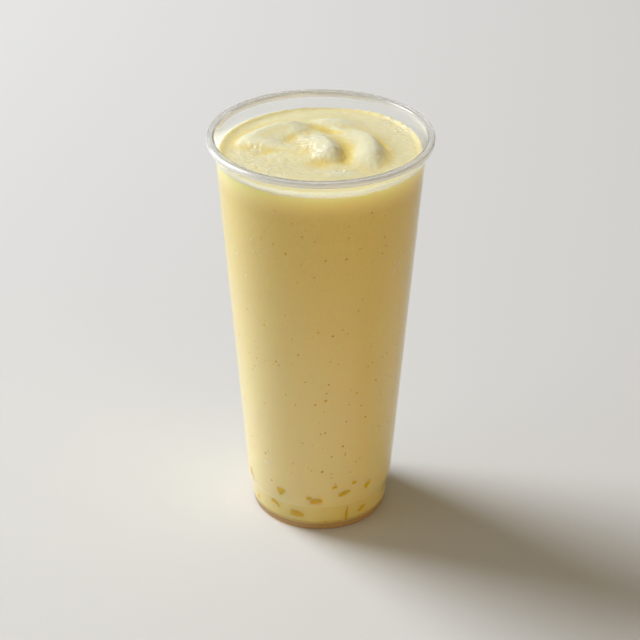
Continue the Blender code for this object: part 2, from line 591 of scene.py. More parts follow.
@dataclass(frozen=True)
class FootPlasticPaintedGlow:
    """The foot's thicker plastic, with the drink's amber painted into it as a painted glow of the drink seen
    through the foot, growing clear towards the wall.
    """

    name: str = "clear_plastic_foot_painted_glow"
    # Painted glow: amber painted into the clear plastic, for the drink's light seen through the foot.
    low_colour: tuple[float, float, float] = (0.66, 0.43, 0.19)
    high_glow_colour: tuple[float, float, float] = (0.93, 0.78, 0.42)
    low_clear: float = 0.4
    high_clear: float = 0.85
    low_height: float = 1.4 * MM
    high_height: float = 4.4 * MM
    roughness: float = 0.2
    ior: float = 1.42
    passed_light: tuple[float, float, float] = (0.70, 0.56, 0.36)

    def build(self) -> bpy.types.Material:
        """Build the material."""
        sheet = NodeSheet(self.name)
        axes = sheet.add("SeparateXYZ")
        sheet.put(axes.inputs[0], sheet.place)
        up = sheet.ramp(axes.outputs["Z"], self.low_height, self.high_height)
        clear = sheet.ramp(axes.outputs["Z"], self.low_height, self.high_height, self.low_clear, self.high_clear)
        shader = sheet.principled(
            Base_Color=sheet.blend(up, self.low_colour, self.high_glow_colour),
            Roughness=self.roughness,
            IOR=self.ior,
            Transmission_Weight=clear,
        )
        return sheet.let_light_past(shader, self.passed_light)


class Face(Enum):
    """The two faces of the drink."""

    OPEN = "open"
    WALL = "wall"


@dataclass(frozen=True)
class SmoothieFinish:
    """Thick smoothie: pale, wet and uneven where it is open to the air, deeper in colour at the wall."""

    name: str = "mango_smoothie"
    open_colour: tuple[float, float, float] = (0.955, 0.858, 0.605)
    # Painted light on the crests and painted shade in the hollows of the open surface.
    crest_painted_light_colour: tuple[float, float, float] = (0.965, 0.90, 0.70)
    hollow_painted_shade_colour: tuple[float, float, float] = (0.91, 0.73, 0.24)
    # Painted shadow of the rim, in a band along the wall on the open surface.
    rim_shadow_colour: tuple[float, float, float] = (0.91, 0.77, 0.33)
    # Whitish foam colour along the wall, also used as a painted highlight line at the shoulder's ledge.
    foam_and_highlight_colour: tuple[float, float, float] = (0.94, 0.90, 0.74)
    # Painted glow just under the surface, for light that enters through the open top.
    painted_top_glow_colour: tuple[float, float, float] = (0.97, 0.89, 0.40)
    deep_colour: tuple[float, float, float] = (0.785, 0.63, 0.18)
    pale_colour: tuple[float, float, float] = (0.88, 0.76, 0.40)
    low_colour: tuple[float, float, float] = (0.86, 0.71, 0.26)
    fruit_colour: tuple[float, float, float] = (0.88, 0.63, 0.06)
    wall_light_reach: tuple[float, float, float] = (1.0, 0.7, 0.25)
    open_light_reach: tuple[float, float, float] = (1.0, 0.95, 0.6)
    open_reach: float = 1.3 * MM
    wall_reach: float = 7.5 * MM
    roughness: float = 0.5
    wet_roughness: float = 0.06
    dry_coat: float = 0.25
    wet_coat: float = 0.7
    hollow_shade_low: float = -0.3 * MM
    hollow_shade_full: float = 0.6 * MM
    crest_light_low: float = -0.3 * MM
    crest_light_full: float = -1.5 * MM
    rim_shadow_width: float = 6.0 * MM
    rim_shadow_share: float = 0.5
    open_haze: float = 0.12
    wall_haze: float = 1.0
    haze_roughness: float = 0.6
    painted_top_glow_depth: float = 12.0 * MM
    deep_height: float = 165.0 * MM
    pale_height: float = 45.0 * MM
    ledge_highlight_width: float = 0.6 * MM
    ledge_highlight_share: float = 0.65
    edge_width: float = 2.6 * MM
    speck_colour: tuple[float, float, float] = (0.90, 0.80, 0.42)
    mottle: float = 0.2
    mottle_size: float = 1.4 * MM
    cloud_size: float = 7.0 * MM
    cloud_gain: float = 1.04
    pulp_size: float = 1.5 * MM
    pulp_depth: float = 0.16 * MM
    wet_size: float = 1.6 * MM
    wet_depth: float = 0.9 * MM
    wet_least: float = 0.35
    low_start: float = 4.0 * MM
    low_end: float = 2.0 * MM

    def build(self, face: Face, form: CupForm, halos: list[Halo]) -> bpy.types.Material:
        """Build the material of one face.

        Args:
            face: The face that it covers.
            form: The cup, whose level says where the pale top begins.
            halos: The patches of deeper colour at the wall.

        Returns:
            The finished material.
        """
        sheet = NodeSheet(f"{self.name}_{face.value}")
        shared = {
            "Subsurface_Weight": 1.0,
            "Roughness": self.roughness,
            "Sheen_Roughness": self.haze_roughness,
        }
        if face is Face.WALL:
            shader = sheet.principled(
                Base_Color=self._wall_colour(sheet, form, halos),
                Specular_IOR_Level=0.1,
                Subsurface_Radius=self.wall_light_reach,
                Subsurface_Scale=self.wall_reach,
                Sheen_Weight=self.wall_haze,
                **shared,
            )
            return sheet.finish(shader)
        pulp = sheet.bump(sheet.noise(self.pulp_size, 3.0, 0.55), self.pulp_depth)
        wet_share = sheet.stored(WET_MARK)
        wet = sheet.bump(
            sheet.noise(self.wet_size, 1.0),
            self.wet_depth,
            strength=sheet.ramp(wet_share, 0.0, 0.8, self.wet_least, 1.0),
            under=pulp,
        )
        shader = sheet.principled(
            Base_Color=self._open_colour(sheet, form),
            IOR=1.38,
            Subsurface_Radius=self.open_light_reach,
            Subsurface_Scale=self.open_reach,
            Sheen_Weight=self.open_haze,
            Coat_Weight=sheet.ramp(wet_share, 0.1, 0.8, self.dry_coat, self.wet_coat),
            Coat_Roughness=self.wet_roughness,
            Coat_IOR=1.5,
            Coat_Normal=wet,
            Normal=pulp,
            **shared,
        )
        return sheet.finish(shader)

    def _open_colour(self, sheet: NodeSheet, form: CupForm) -> object:
        """Colour of the open surface: painted light on the crests, painted shade in the hollows, a painted rim
        shadow in a band along the wall, and whitish foam at the wall.

        Args:
            sheet: The material's nodes.
            form: The cup.

        Returns:
            The colour's socket.
        """
        cloud = sheet.ramp(sheet.noise(self.cloud_size, 3.0), 0.35, 0.65)
        paler = tuple(min(channel * self.cloud_gain, 1.0) for channel in self.open_colour)
        colour = sheet.blend(cloud, self.open_colour, paler)
        depth = sheet.stored(HOLLOW_MARK)
        # Painted light: crests, which stand above the points around them, are painted paler.
        colour = sheet.blend(sheet.ramp(depth, self.crest_light_low, self.crest_light_full), colour, self.crest_painted_light_colour)
        # Painted shade: hollows, which lie below the points around them, are painted deeper and darker.
        colour = sheet.blend(sheet.ramp(depth, self.hollow_shade_low, self.hollow_shade_full), colour, self.hollow_painted_shade_colour)
        flat = sheet.add("VectorMath", operation="MULTIPLY")
        sheet.put(flat.inputs[0], sheet.place)
        sheet.put(flat.inputs[1], (1.0, 1.0, 0.0))
        length = sheet.add("VectorMath", operation="LENGTH")
        sheet.put(length.inputs[0], flat.outputs["Vector"])
        wander = sheet.math("MULTIPLY", sheet.noise(3.0 * MM, 3.0), self.edge_width)
        away = sheet.math("ADD", length.outputs["Value"], wander)
        wall = form.inner_radius(form.contact)
        # Painted shadow: a deeper band along the wall stands in for the rim's shadow.
        rim_shadow_share = sheet.ramp(away, wall - self.rim_shadow_width, wall, 0.0, self.rim_shadow_share)
        colour = sheet.blend(rim_shadow_share, colour, self.rim_shadow_colour)
        foam_share = sheet.ramp(away, wall - self.edge_width / 2, wall + self.edge_width / 2)
        return sheet.blend(foam_share, colour, self.foam_and_highlight_colour)

    def _wall_colour(self, sheet: NodeSheet, form: CupForm, halos: list[Halo]) -> object:
        """Colour behind the wall: a painted glow of light from the open top just under the surface, deep below,
        paler towards the bottom, a painted highlight line at the ledge, and the fruit's halos.

        Args:
            sheet: The material's nodes.
            form: The cup.
            halos: The patches of deeper colour.

        Returns:
            The colour's socket.
        """
        axes = sheet.add("SeparateXYZ")
        sheet.put(axes.inputs[0], sheet.place)
        height = axes.outputs["Z"]
        pale_share = sheet.ramp(height, self.deep_height, self.pale_height)
        colour = sheet.blend(pale_share, self.deep_colour, self.pale_colour)
        low_share = sheet.ramp(height, form.shoulder_z + self.low_start, form.shoulder_z - self.low_end)
        colour = sheet.blend(low_share, colour, self.low_colour)
        # Painted light: the wall is painted brighter just under the surface, for light that enters through the
        # open top.
        painted_top_glow_share = sheet.ramp(height, form.contact - self.painted_top_glow_depth, form.contact)
        colour = sheet.blend(painted_top_glow_share, colour, self.painted_top_glow_colour)
        colour = sheet.blend(self._fruit_share(sheet, halos), colour, self.fruit_colour)
        # Painted highlight: a thin pale line at the shoulder's ledge, in the foam's colour.
        from_ledge = sheet.math("ABSOLUTE", sheet.math("SUBTRACT", height, form.shoulder_z))
        ledge_highlight_share = sheet.ramp(from_ledge, 0.0, self.ledge_highlight_width, self.ledge_highlight_share, 0.0)
        colour = sheet.blend(ledge_highlight_share, colour, self.foam_and_highlight_colour)
        mottle = sheet.ramp(sheet.noise(self.mottle_size, 3.0, 0.6), 0.3, 0.7, 0.0, self.mottle)
        return sheet.blend(mottle, colour, self.speck_colour)

    def _fruit_share(self, sheet: NodeSheet, halos: list[Halo]) -> object:
        """Share of the fruit's colour, strongest at the middle of each halo.

        Args:
            sheet: The material's nodes.
            halos: The patches.

        Returns:
            The share's socket.
        """
        share: object = 0.0
        for halo in halos:
            mapping = sheet.add("Mapping", vector_type="TEXTURE")
            sheet.put(mapping.inputs["Vector"], sheet.place)
            sheet.put(mapping.inputs["Location"], halo.place.translation)
            sheet.put(mapping.inputs["Rotation"], halo.place.to_euler())
            sheet.put(mapping.inputs["Scale"], halo.radii)
            length = sheet.add("VectorMath", operation="LENGTH")
            sheet.put(length.inputs[0], mapping.outputs["Vector"])
            near = sheet.ramp(length.outputs["Value"], 0.3, 1.0, halo.strength, 0.0)
            share = sheet.math("MAXIMUM", near, share)
        return share


@dataclass(frozen=True)
class FruitFlesh:
    """Wet mango flesh, deep yellow with lighter fibres."""

    name: str = "mango_flesh"
    colour: tuple[float, float, float] = (0.85, 0.50, 0.002)
    light_colour: tuple[float, float, float] = (0.90, 0.62, 0.02)
    fibre_size: float = 1.2 * MM
    fibre_depth: float = 0.1 * MM
    light_reach: tuple[float, float, float] = (1.0, 0.7, 0.2)
    reach: float = 1.5 * MM

    def build(self) -> bpy.types.Material:
        """Build the material."""
        sheet = NodeSheet(self.name)
        fibres = sheet.noise(self.fibre_size, 3.0, 0.6, stretch=Vector((1.0, 1.0, 3.0)))
        colour = sheet.blend(sheet.ramp(fibres, 0.4, 0.7), self.colour, self.light_colour)
        shader = sheet.principled(
            Base_Color=colour,
            Roughness=0.5,
            Specular_IOR_Level=0.05,
            Sheen_Weight=0.1,
            Sheen_Roughness=0.6,
            Subsurface_Weight=1.0,
            Subsurface_Radius=self.light_reach,
            Subsurface_Scale=self.reach,
            Normal=sheet.bump(fibres, self.fibre_depth),
        )
        return sheet.finish(shader)


@dataclass(frozen=True)
class PulpFinish:
    """Browned fibre and pulp, from amber to brown."""

    name: str = "browned_pulp"
    amber: tuple[float, float, float] = (0.78, 0.49, 0.04)
    brown: tuple[float, float, float] = (0.58, 0.33, 0.03)

    def build(self) -> bpy.types.Material:
        """Build the material."""
        sheet = NodeSheet(self.name)
        mottle = sheet.noise(2.5 * MM, 2.0)
        colour = sheet.blend(sheet.ramp(mottle, 0.4, 0.6), self.amber, self.brown)
        shader = sheet.principled(Base_Color=colour, Roughness=0.5, Normal=sheet.bump(mottle, 0.1 * MM))
        return sheet.finish(shader)


@dataclass(frozen=True)
class FoamFinish:
    """Pale foam and tiny bubbles."""

    name: str = "pale_foam"
    colour: tuple[float, float, float] = (0.96, 0.93, 0.82)
    shade: tuple[float, float, float] = (0.93, 0.87, 0.68)

    def build(self) -> bpy.types.Material:
        """Build the material."""
        sheet = NodeSheet(self.name)
        cloud = sheet.noise(1.6 * MM, 3.0)
        shader = sheet.principled(
            Base_Color=sheet.blend(sheet.ramp(cloud, 0.35, 0.65), self.colour, self.shade),
            Roughness=0.25,
            Sheen_Weight=1.0,
            Sheen_Roughness=0.6,
            Coat_Weight=0.5,
            Coat_Roughness=0.1,
            Normal=sheet.bump(cloud, 0.1 * MM),
        )
        return sheet.finish(shader)


@dataclass(frozen=True)
class WetFilm:
    """Wet bubbles and streaks on the drink, glossy, with a near-white colour that partly paints their glints."""

    name: str = "wet_film_painted_glint"
    # Painted glint in part: the near-white colour makes the bubbles read as glints, on top of the real gloss
    # that catches the lamp.
    colour: tuple[float, float, float] = (0.97, 0.94, 0.82)
    ior: float = 1.5
    roughness: float = 0.12
    gloss_roughness: float = 0.06

    def build(self) -> bpy.types.Material:
        """Build the material."""
        sheet = NodeSheet(self.name)
        shader = sheet.principled(
            Base_Color=self.colour,
            Roughness=self.roughness,
            IOR=self.ior,
            Coat_Weight=1.0,
            Coat_Roughness=self.gloss_roughness,
            Coat_IOR=self.ior,
        )
        return sheet.finish(shader)


@dataclass(frozen=True)
class FloorFinish:
    """The plain pale floor."""

    name: str = "pale_floor"
    colour: tuple[float, float, float] = (0.775, 0.775, 0.79)

    def build(self) -> bpy.types.Material:
        """Build the material."""
        sheet = NodeSheet(self.name)
        shader = sheet.principled(Base_Color=self.colour, Roughness=0.8)
        return sheet.finish(shader)


@dataclass
class Cup:
    """The clear cup: rolled rim, tapered wall, shoulder, base and foot ring, turned in one piece."""

    form: CupForm
    finish: ClearPlastic = ClearPlastic()
    rim_finish: FrostedPlastic = FrostedPlastic()
    foot_finish: FootPlasticPaintedGlow = FootPlasticPaintedGlow()
    foot_band: float = 4.5 * MM
    steps: int = 192
    spacing: float = 6.0 * MM
    rim_top_round: float = 0.8 * MM
    rim_skin: float = 0.9 * MM
    channel_round: float = 0.4 * MM
    channel_drop: float = 1.1 * MM
    lip_setback: float = 0.25 * MM

    def build(self) -> bpy.types.Object:
        """Model the cup, dress it and let it stand for the CAD node.

        Returns:
            The finished piece.
        """
        piece = turn_profile("cup_clear", self._profile(), self.steps)
        piece.data.materials.append(self.finish.build())
        piece.data.materials.append(self.rim_finish.build())
        piece.data.materials.append(self.foot_finish.build())
        rim_low = self.form.height - self.form.rim_depth
        foot_inside = self.form.foot_inner_radius - self.form.foot_draft
        for polygon in piece.data.polygons:
            away = math.hypot(polygon.center.x, polygon.center.y)
            if polygon.center.z > rim_low:
                polygon.material_index = 1
            # The foot band gets the plastic with the drink's glow painted in.
            elif polygon.center.z < self.foot_band and away > foot_inside:
                polygon.material_index = 2
        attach(piece, BODY)
        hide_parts("cup")
        return piece

    def _profile(self) -> list[Point]:
        """The cup's section, from the middle of its floor over the rim to the middle of its underside.

        Returns:
            The points of the section.
        """
        form = self.form
        corner_z = form.floor_top + form.floor_corner
        corner_r = form.inner_radius(corner_z) - form.floor_corner
        inside = [(0.0, form.floor_top)]
        inside += ellipse_arc((corner_r, corner_z), (form.floor_corner, form.floor_corner), -90, 0, 6)
        low = form.height - form.rim_depth
        rising = form.wall_heights(corner_z, low, self.spacing)[1:]
        inside += [(form.inner_radius(z), z) for z in rising]

        falling = [form.floor_top, self.foot_band, *form.wall_heights(form.foot_round, low, self.spacing)]
        outside = [(form.outer_radius(z), z) for z in sorted(falling, reverse=True)]
        foot_width = form.base_low_radius - form.foot_outer_radius
        foot = ellipse_arc((form.foot_outer_radius, form.foot_round), (foot_width, form.foot_round), 0, -90, 6)
        underside = [
            (form.foot_inner_radius, 0.0),
            (form.foot_inner_radius - form.foot_draft, form.floor_underside),
            (0.0, form.floor_underside),
        ]
        return inside + self._rim(low) + outside + foot[1:] + underside

    def _rim(self, low: float) -> list[Point]:
        """The rolled rim's section, from the mouth over its flat top and down round its skirt.

        Args:
            low: Height of the skirt's foot.

        Returns:
            The points of the rim, without the wall's own.
        """
        form = self.form
        top = form.height
        inner = form.inner_radius(low) + self.lip_setback
        outer = form.rim_radius
        rounding = self.rim_top_round
        skirt_in = outer - self.rim_skin
        channel_top = top - self.channel_drop
        lip = ellipse_arc((inner + rounding, top - rounding), (rounding, rounding), 180, 90, 5)
        edge = ellipse_arc((outer - rounding, top - rounding), (rounding, rounding), 90, 0, 6)
        half_skin = self.rim_skin / 2
        skirt = ellipse_arc((outer - half_skin, low + half_skin), (half_skin, half_skin), 0, -180, 6)
        roof = ellipse_arc(
            (skirt_in - self.channel_round, channel_top - self.channel_round),
            (self.channel_round, self.channel_round),
            0,
            90,
            3,
        )
        return lip + edge + skirt + roof + [(form.outer_radius(low) + self.channel_round, channel_top)]


@dataclass(frozen=True)
class Fold:
    """A fold of the drink, in millimetres, with its crest on an arc through three points."""

    start: Point
    middle: Point
    end: Point
    height: float
    reach_in: float
    reach_out: float
    taper: float

    def centre_and_radius(self) -> tuple[Point, float]:
        """Centre and radius of the circle that the crest follows."""
        (x1, y1), (x2, y2), (x3, y3) = self.start, self.middle, self.end
        a, b, c, d = x2 - x1, y2 - y1, x3 - x1, y3 - y1
        twice_area = 2 * (a * d - b * c)
        from_x = (d * (a * a + b * b) - b * (c * c + d * d)) / twice_area
        from_y = (a * (c * c + d * d) - c * (a * a + b * b)) / twice_area
        return (x1 + from_x, y1 + from_y), math.hypot(from_x, from_y)

    def rise(self, x: float, y: float) -> float:
        """Height that the fold adds, steeper on the side with the shorter reach.

        Args:
            x: Place on the drink, in millimetres.
            y: Place on the drink, in millimetres.

        Returns:
            The height in millimetres.
        """
        (centre_x, centre_y), radius = self.centre_and_radius()
        start, middle, end = (
            math.atan2(p[1] - centre_y, p[0] - centre_x) for p in (self.start, self.middle, self.end)
        )
        turn = self._turn(middle, math.atan2(y - centre_y, x - centre_x))
        to_start = self._turn(middle, start)
        side = to_start if turn * to_start > 0 else self._turn(middle, end)
        share = min(turn / side, 1.0)
        nearest_x = centre_x + radius * math.cos(middle + share * side)
        nearest_y = centre_y + radius * math.sin(middle + share * side)
        distance = max(math.hypot(x - nearest_x, y - nearest_y), 1e-6)
        outward = (math.hypot(x - centre_x, y - centre_y) - radius) / distance
        reach = self.reach_in + (self.reach_out - self.reach_in) * smooth_step((1 + outward) / 2)
        return self.height * smooth_step((1 - share) / self.taper) * math.exp(-((distance / reach) ** 2))

    @staticmethod
    def _turn(start: float, end: float) -> float:
        """Turn from one angle to another, between minus and plus half a turn."""
        return (end - start + math.pi) % math.tau - math.pi


@dataclass(frozen=True)
class Hollow:
    """A hollow between folds, in millimetres, with its direction in degrees."""

    centre: Point
    depth: float
    half_length: float
    half_width: float
    direction: float

    def rise(self, x: float, y: float) -> float:
        """Height at a point, below zero inside the hollow.

        Args:
            x: Place on the drink, in millimetres.
            y: Place on the drink, in millimetres.

        Returns:
            The height in millimetres.
        """
        cosine, sine = math.cos(math.radians(self.direction)), math.sin(math.radians(self.direction))
        away_x, away_y = x - self.centre[0], y - self.centre[1]
        along = (away_x * cosine + away_y * sine) / self.half_length
        across = (away_y * cosine - away_x * sine) / self.half_width
        return -self.depth * math.exp(-along * along - across * across)


MAIN_FOLDS = (
    Fold((-34, -2), (-24, 14.5), (-2, 21), height=2.3, reach_in=15.0, reach_out=3.0, taper=0.5),
    Fold((-7, 20), (5, 24), (18, 18), height=1.4, reach_in=4.5, reach_out=4.5, taper=0.9),
    Fold((6.5, -24), (3, -6), (-8.5, 11.5), height=3.8, reach_in=7.5, reach_out=5.0, taper=0.85),
    Fold((17, -24), (21.5, -3), (9, 18), height=3.4, reach_in=9.0, reach_out=4.2, taper=0.8),
    Fold((0, -28.5), (9, -26.5), (18, -28.5), height=0.5, reach_in=3.0, reach_out=2.0, taper=0.9),
)
HOLLOWS = (
    Hollow((-11.3, 5.5), depth=0.5, half_length=6.0, half_width=3.2, direction=50),
    Hollow((3, 15.5), depth=1.5, half_length=6.0, half_width=3.0, direction=-38),
    Hollow((10, -12), depth=1.5, half_length=7.0, half_width=4.0, direction=80),
    Hollow((3, -17.5), depth=1.1, half_length=8.0, half_width=4.0, direction=15),
    Hollow((-23, -7), depth=0.5, half_length=6.0, half_width=3.0, direction=20),
)
FINE_FOLDS = (
    Fold((-31, 1), (-22, 14.5), (-5.7, 20.5), height=0.5, reach_in=2.6, reach_out=0.9, taper=0.6),
    Fold((15, 17), (23.5, 4), (28.5, -6), height=-0.85, reach_in=0.9, reach_out=1.5, taper=0.7),
    Fold((-3, 16), (5, 17.5), (12, 13), height=0.45, reach_in=1.6, reach_out=1.0, taper=0.8),
)
WET_SPOTS = (
    (-30, -16, 9), (-18, -24, 9), (-18, 1, 6), (-6, -2, 7), (2, -12, 6), (-27, -3, 5), (8, -27, 5),
    (29, 27, 5), (35, 18, 5),
)


@dataclass
class Smoothie:
    """The drink up to its poured surface. It reaches just into the wall, so that no air gap shows."""

    form: CupForm
    finish: SmoothieFinish = SmoothieFinish()
    into_wall: float = 0.2 * MM
    steps: int = 288
    ring_spacing: float = 0.38 * MM
    side_spacing: float = 4.0 * MM
    dome_height: float = 2.0 * MM
    dome_radius: float = 40.0 * MM
    dome_y: float = -3.0 * MM
    fold_fade: float = 6.0 * MM
    lump_size: float = 3.4 * MM
    lump_depth: float = 0.17 * MM
    grain_size: float = 1.3 * MM
    grain_depth: float = 0.06 * MM
    wet_grain_depth: float = 0.12 * MM
    around: float = 4.0 * MM
    lip_height: float = 1.3 * MM
    lip_reach: float = 4.0 * MM
    streak_middle: float = math.radians(35)
    streak_half_angle: float = math.radians(38)
    streak_start: float = 22.0 * MM
    streak_spacing: float = 1.1 * MM
    streak_depth: float = 0.16 * MM
    streak_fade: float = 6.0 * MM
    streak_length: float = 9.0 * MM
    fine_fade: float = 1.5 * MM

    def build(self, halos: list[Halo]) -> bpy.types.Object:
        """Model the drink, dress it and let it stand for the CAD node.

        Args:
            halos: Patches of deeper colour behind the wall.

        Returns:
            The finished piece.
        """
        piece = turn_profile("smoothie_drink", self._profile(), self.steps)
        hollow_marks = piece.data.attributes.new(HOLLOW_MARK, "FLOAT", "POINT").data
        wet_marks = piece.data.attributes.new(WET_MARK, "FLOAT", "POINT").data
        for index, vertex in enumerate(piece.data.vertices):
            x, y, z = vertex.co
            if z > self.form.contact + 0.01 * MM:
                vertex.co.z = z + self.rise(x, y)
                # The hollow mark is read by the open finish, which paints shade into hollows and light onto
                # crests.
                hollow_marks[index].value = self._depth(x, y)
                wet_marks[index].value = self._wetness(x, y)
        self._dress(piece, halos)
        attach(piece, BODY)
        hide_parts("smoothie")
        return piece

    def _depth(self, x: float, y: float) -> float:
        """How far a point of the poured surface lies under the points around it.

        Args:
            x: Place on the drink.
            y: Place on the drink.

        Returns:
            The depth in metres, below zero on a crest.
        """
        total = 0.0
        for i in range(8):
            angle = math.tau * i / 8
            total += self._poured(
                round((x + self.around * math.cos(angle)) / MM * 2) / 2,
                round((y + self.around * math.sin(angle)) / MM * 2) / 2,
            )
        return total / 8 * MM - self._poured(round(x / MM * 2) / 2, round(y / MM * 2) / 2) * MM

    @staticmethod
    @lru_cache(maxsize=None)
    def _poured(x: float, y: float) -> float:
        """Height of the folds and hollows alone.

        Args:
            x: Place on the drink, in millimetres.
            y: Place on the drink, in millimetres.

        Returns:
            The height in millimetres.
        """
        return sum(shape.rise(x, y) for shape in MAIN_FOLDS + HOLLOWS + FINE_FOLDS)

    @staticmethod
    def _wetness(x: float, y: float) -> float:
        """How wet and uneven the surface is, from 0 to 1.

        Args:
            x: Place on the drink.
            y: Place on the drink.

        Returns:
            The wetness.
        """
        return max(
            math.exp(-((x / MM - spot_x) ** 2 + (y / MM - spot_y) ** 2) / size**2)
            for spot_x, spot_y, size in WET_SPOTS
        )

    def _dress(self, piece: bpy.types.Object, halos: list[Halo]) -> None:
        """Give the open surface and the side their own finishes.

        Args:
            piece: The modelled drink.
            halos: Patches of deeper colour behind the wall.
        """
        for face in Face:
            piece.data.materials.append(self.finish.build(face, self.form, halos))
        for polygon in piece.data.polygons:
            polygon.material_index = 0 if polygon.center.z > self.form.contact + 0.02 * MM else 1

    def rise(self, x: float, y: float) -> float:
        """Height of the poured surface over the drink's level, fading out at the wall.

        Args:
            x: Place on the drink.
            y: Place on the drink.

        Returns:
            The height in metres.
        """
        from_dome = math.hypot(x, y - self.dome_y) / self.dome_radius
        dome = self.dome_height * max(1 - from_dome**2, 0.0) ** 1.5
        shapes = sum(shape.rise(x / MM, y / MM) for shape in MAIN_FOLDS + HOLLOWS + FINE_FOLDS)
        away = math.hypot(x, y)
        to_wall = self.form.inner_radius(self.form.level) - away
        broad = dome + shapes * MM
        lumps = self.lump_depth * noise.fractal(Vector((x, y, 0.0)) / self.lump_size, 0.8, 2.0, 2)
        grain_depth = self.grain_depth + self.wet_grain_depth * self._wetness(x, y)
        grain = grain_depth * noise.noise(Vector((x, y, 0.0)) / self.grain_size + Vector((0.0, 0.0, 7.0)))
        near_wall = smooth_step(to_wall / self.fine_fade)
        fine = (lumps + grain + self._streak(x, y, away)) * near_wall
        return broad * smooth_step(to_wall / self.fold_fade) + fine + self._lip(x, y, to_wall)

    def _lip(self, x: float, y: float, to_wall: float) -> float:
        """Drink that was smeared up towards the wall at the back on the right.

        Args:
            x: Place on the drink.
            y: Place on the drink.
            to_wall: Distance to the wall.

        Returns:
            The height in metres.
        """
        angle = math.atan2(y, x)
        sector = smooth_step(1.6 - abs(angle - self.streak_middle) / (self.streak_half_angle * 0.8))
        ripple = 0.75 + 0.7 * noise.noise(Vector((angle * 30, 0.0, 9.0)))
        band = smooth_step((self.lip_reach - to_wall) / (self.lip_reach - MM)) * smooth_step(to_wall / MM)
        return self.lip_height * sector * ripple * band

    def _streak(self, x: float, y: float, away: float) -> float:
        """Fine streaks that run towards the wall on the drink's flat right side.

        Args:
            x: Place on the drink.
            y: Place on the drink.
            away: Distance from the drink's middle.

        Returns:
            The height in metres.
        """
        angle = math.atan2(y, x)
        sector = smooth_step(1.6 - abs(angle - self.streak_middle) / self.streak_half_angle)
        band = smooth_step((away - self.streak_start) / self.streak_fade)
        place = Vector((angle * away / self.streak_spacing, away / self.streak_length, 3.0))
        ripple = noise.fractal(place, 0.8, 2.0, 2)
        return self.streak_depth * sector * band * ripple

    def _profile(self) -> list[Point]:
        """The drink's section, from the middle of its floor up the wall and over its surface.

        Returns:
            The points of the section.
        """
        form = self.form
        floor = form.floor_underside + form.floor - self.into_wall
        corner = form.floor_corner
        corner_z = floor + corner
        corner_r = form.inner_radius(corner_z) + self.into_wall - corner
        points = [(0.0, floor)]
        points += ellipse_arc((corner_r, corner_z), (corner, corner), -90, 0, 6)
        rising = form.wall_heights(corner_z, form.contact, self.side_spacing)[1:]
        points += [(form.inner_radius(z) + self.into_wall, z) for z in rising]
        edge = points[-1][0]
        flat = edge - form.edge_width
        points += ellipse_arc((flat, form.contact), (form.edge_width, form.edge_drop), 0, 90, 10)[1:]
        rings = round(flat / self.ring_spacing)
        points += line_points((flat, form.level), (0.0, form.level), rings)
        return points


class Cut(Enum):
    """The shapes into which the fruit was cut."""

    CHUNK = "chunk"
    WEDGE = "wedge"
    CRESCENT = "crescent"


@dataclass(frozen=True)
class FruitPiece:
    """A piece of mango at the wall: its place on the wall, its size in millimetres and its halo."""

    azimuth: float
    height: float
    length: float
    width: float
    turn: float = 0.0
    halo: float = 0.4
    spread: float = 1.0
    cut: Cut = Cut.CHUNK


FRONT_FRUIT = (
    FruitPiece(-69, 17, 7.5, 3.0, turn=-62, halo=0.25),
    FruitPiece(-64, 7, 3.0, 2.2, turn=70, halo=0.2),
    FruitPiece(-32, 19, 4.6, 4.4, turn=172, cut=Cut.WEDGE),
    FruitPiece(-2.5, 16.4, 5.2, 2.0, turn=18, halo=0.6, spread=2.2),
    FruitPiece(-8.5, 18.2, 1.8, 1.4, turn=40, halo=0.4, spread=1.4),
    FruitPiece(-19, 8, 6.0, 2.8, turn=4, halo=0.55, spread=1.4),
    FruitPiece(-39, 10.5, 5.0, 2.2, turn=-30, halo=0.2, spread=2.0),
    FruitPiece(12, 24, 2.3, 1.1, turn=24),
    FruitPiece(20, 20, 5.4, 1.6, turn=24, halo=0.45),
    FruitPiece(28, 24.7, 1.9, 1.2, turn=30),
    FruitPiece(41, 21, 4.0, 1.9, turn=48, halo=0.45),
    FruitPiece(69, 12, 7.0, 1.1, turn=64, halo=0.4),
    FruitPiece(38, 8, 4.2, 1.7, turn=42, halo=0.45, spread=1.3),
    FruitPiece(23.4, 7.5, 8.0, 0.8, turn=89, halo=0.35),
    FruitPiece(5, 3.6, 2.6, 1.6, turn=0, cut=Cut.WEDGE),
)


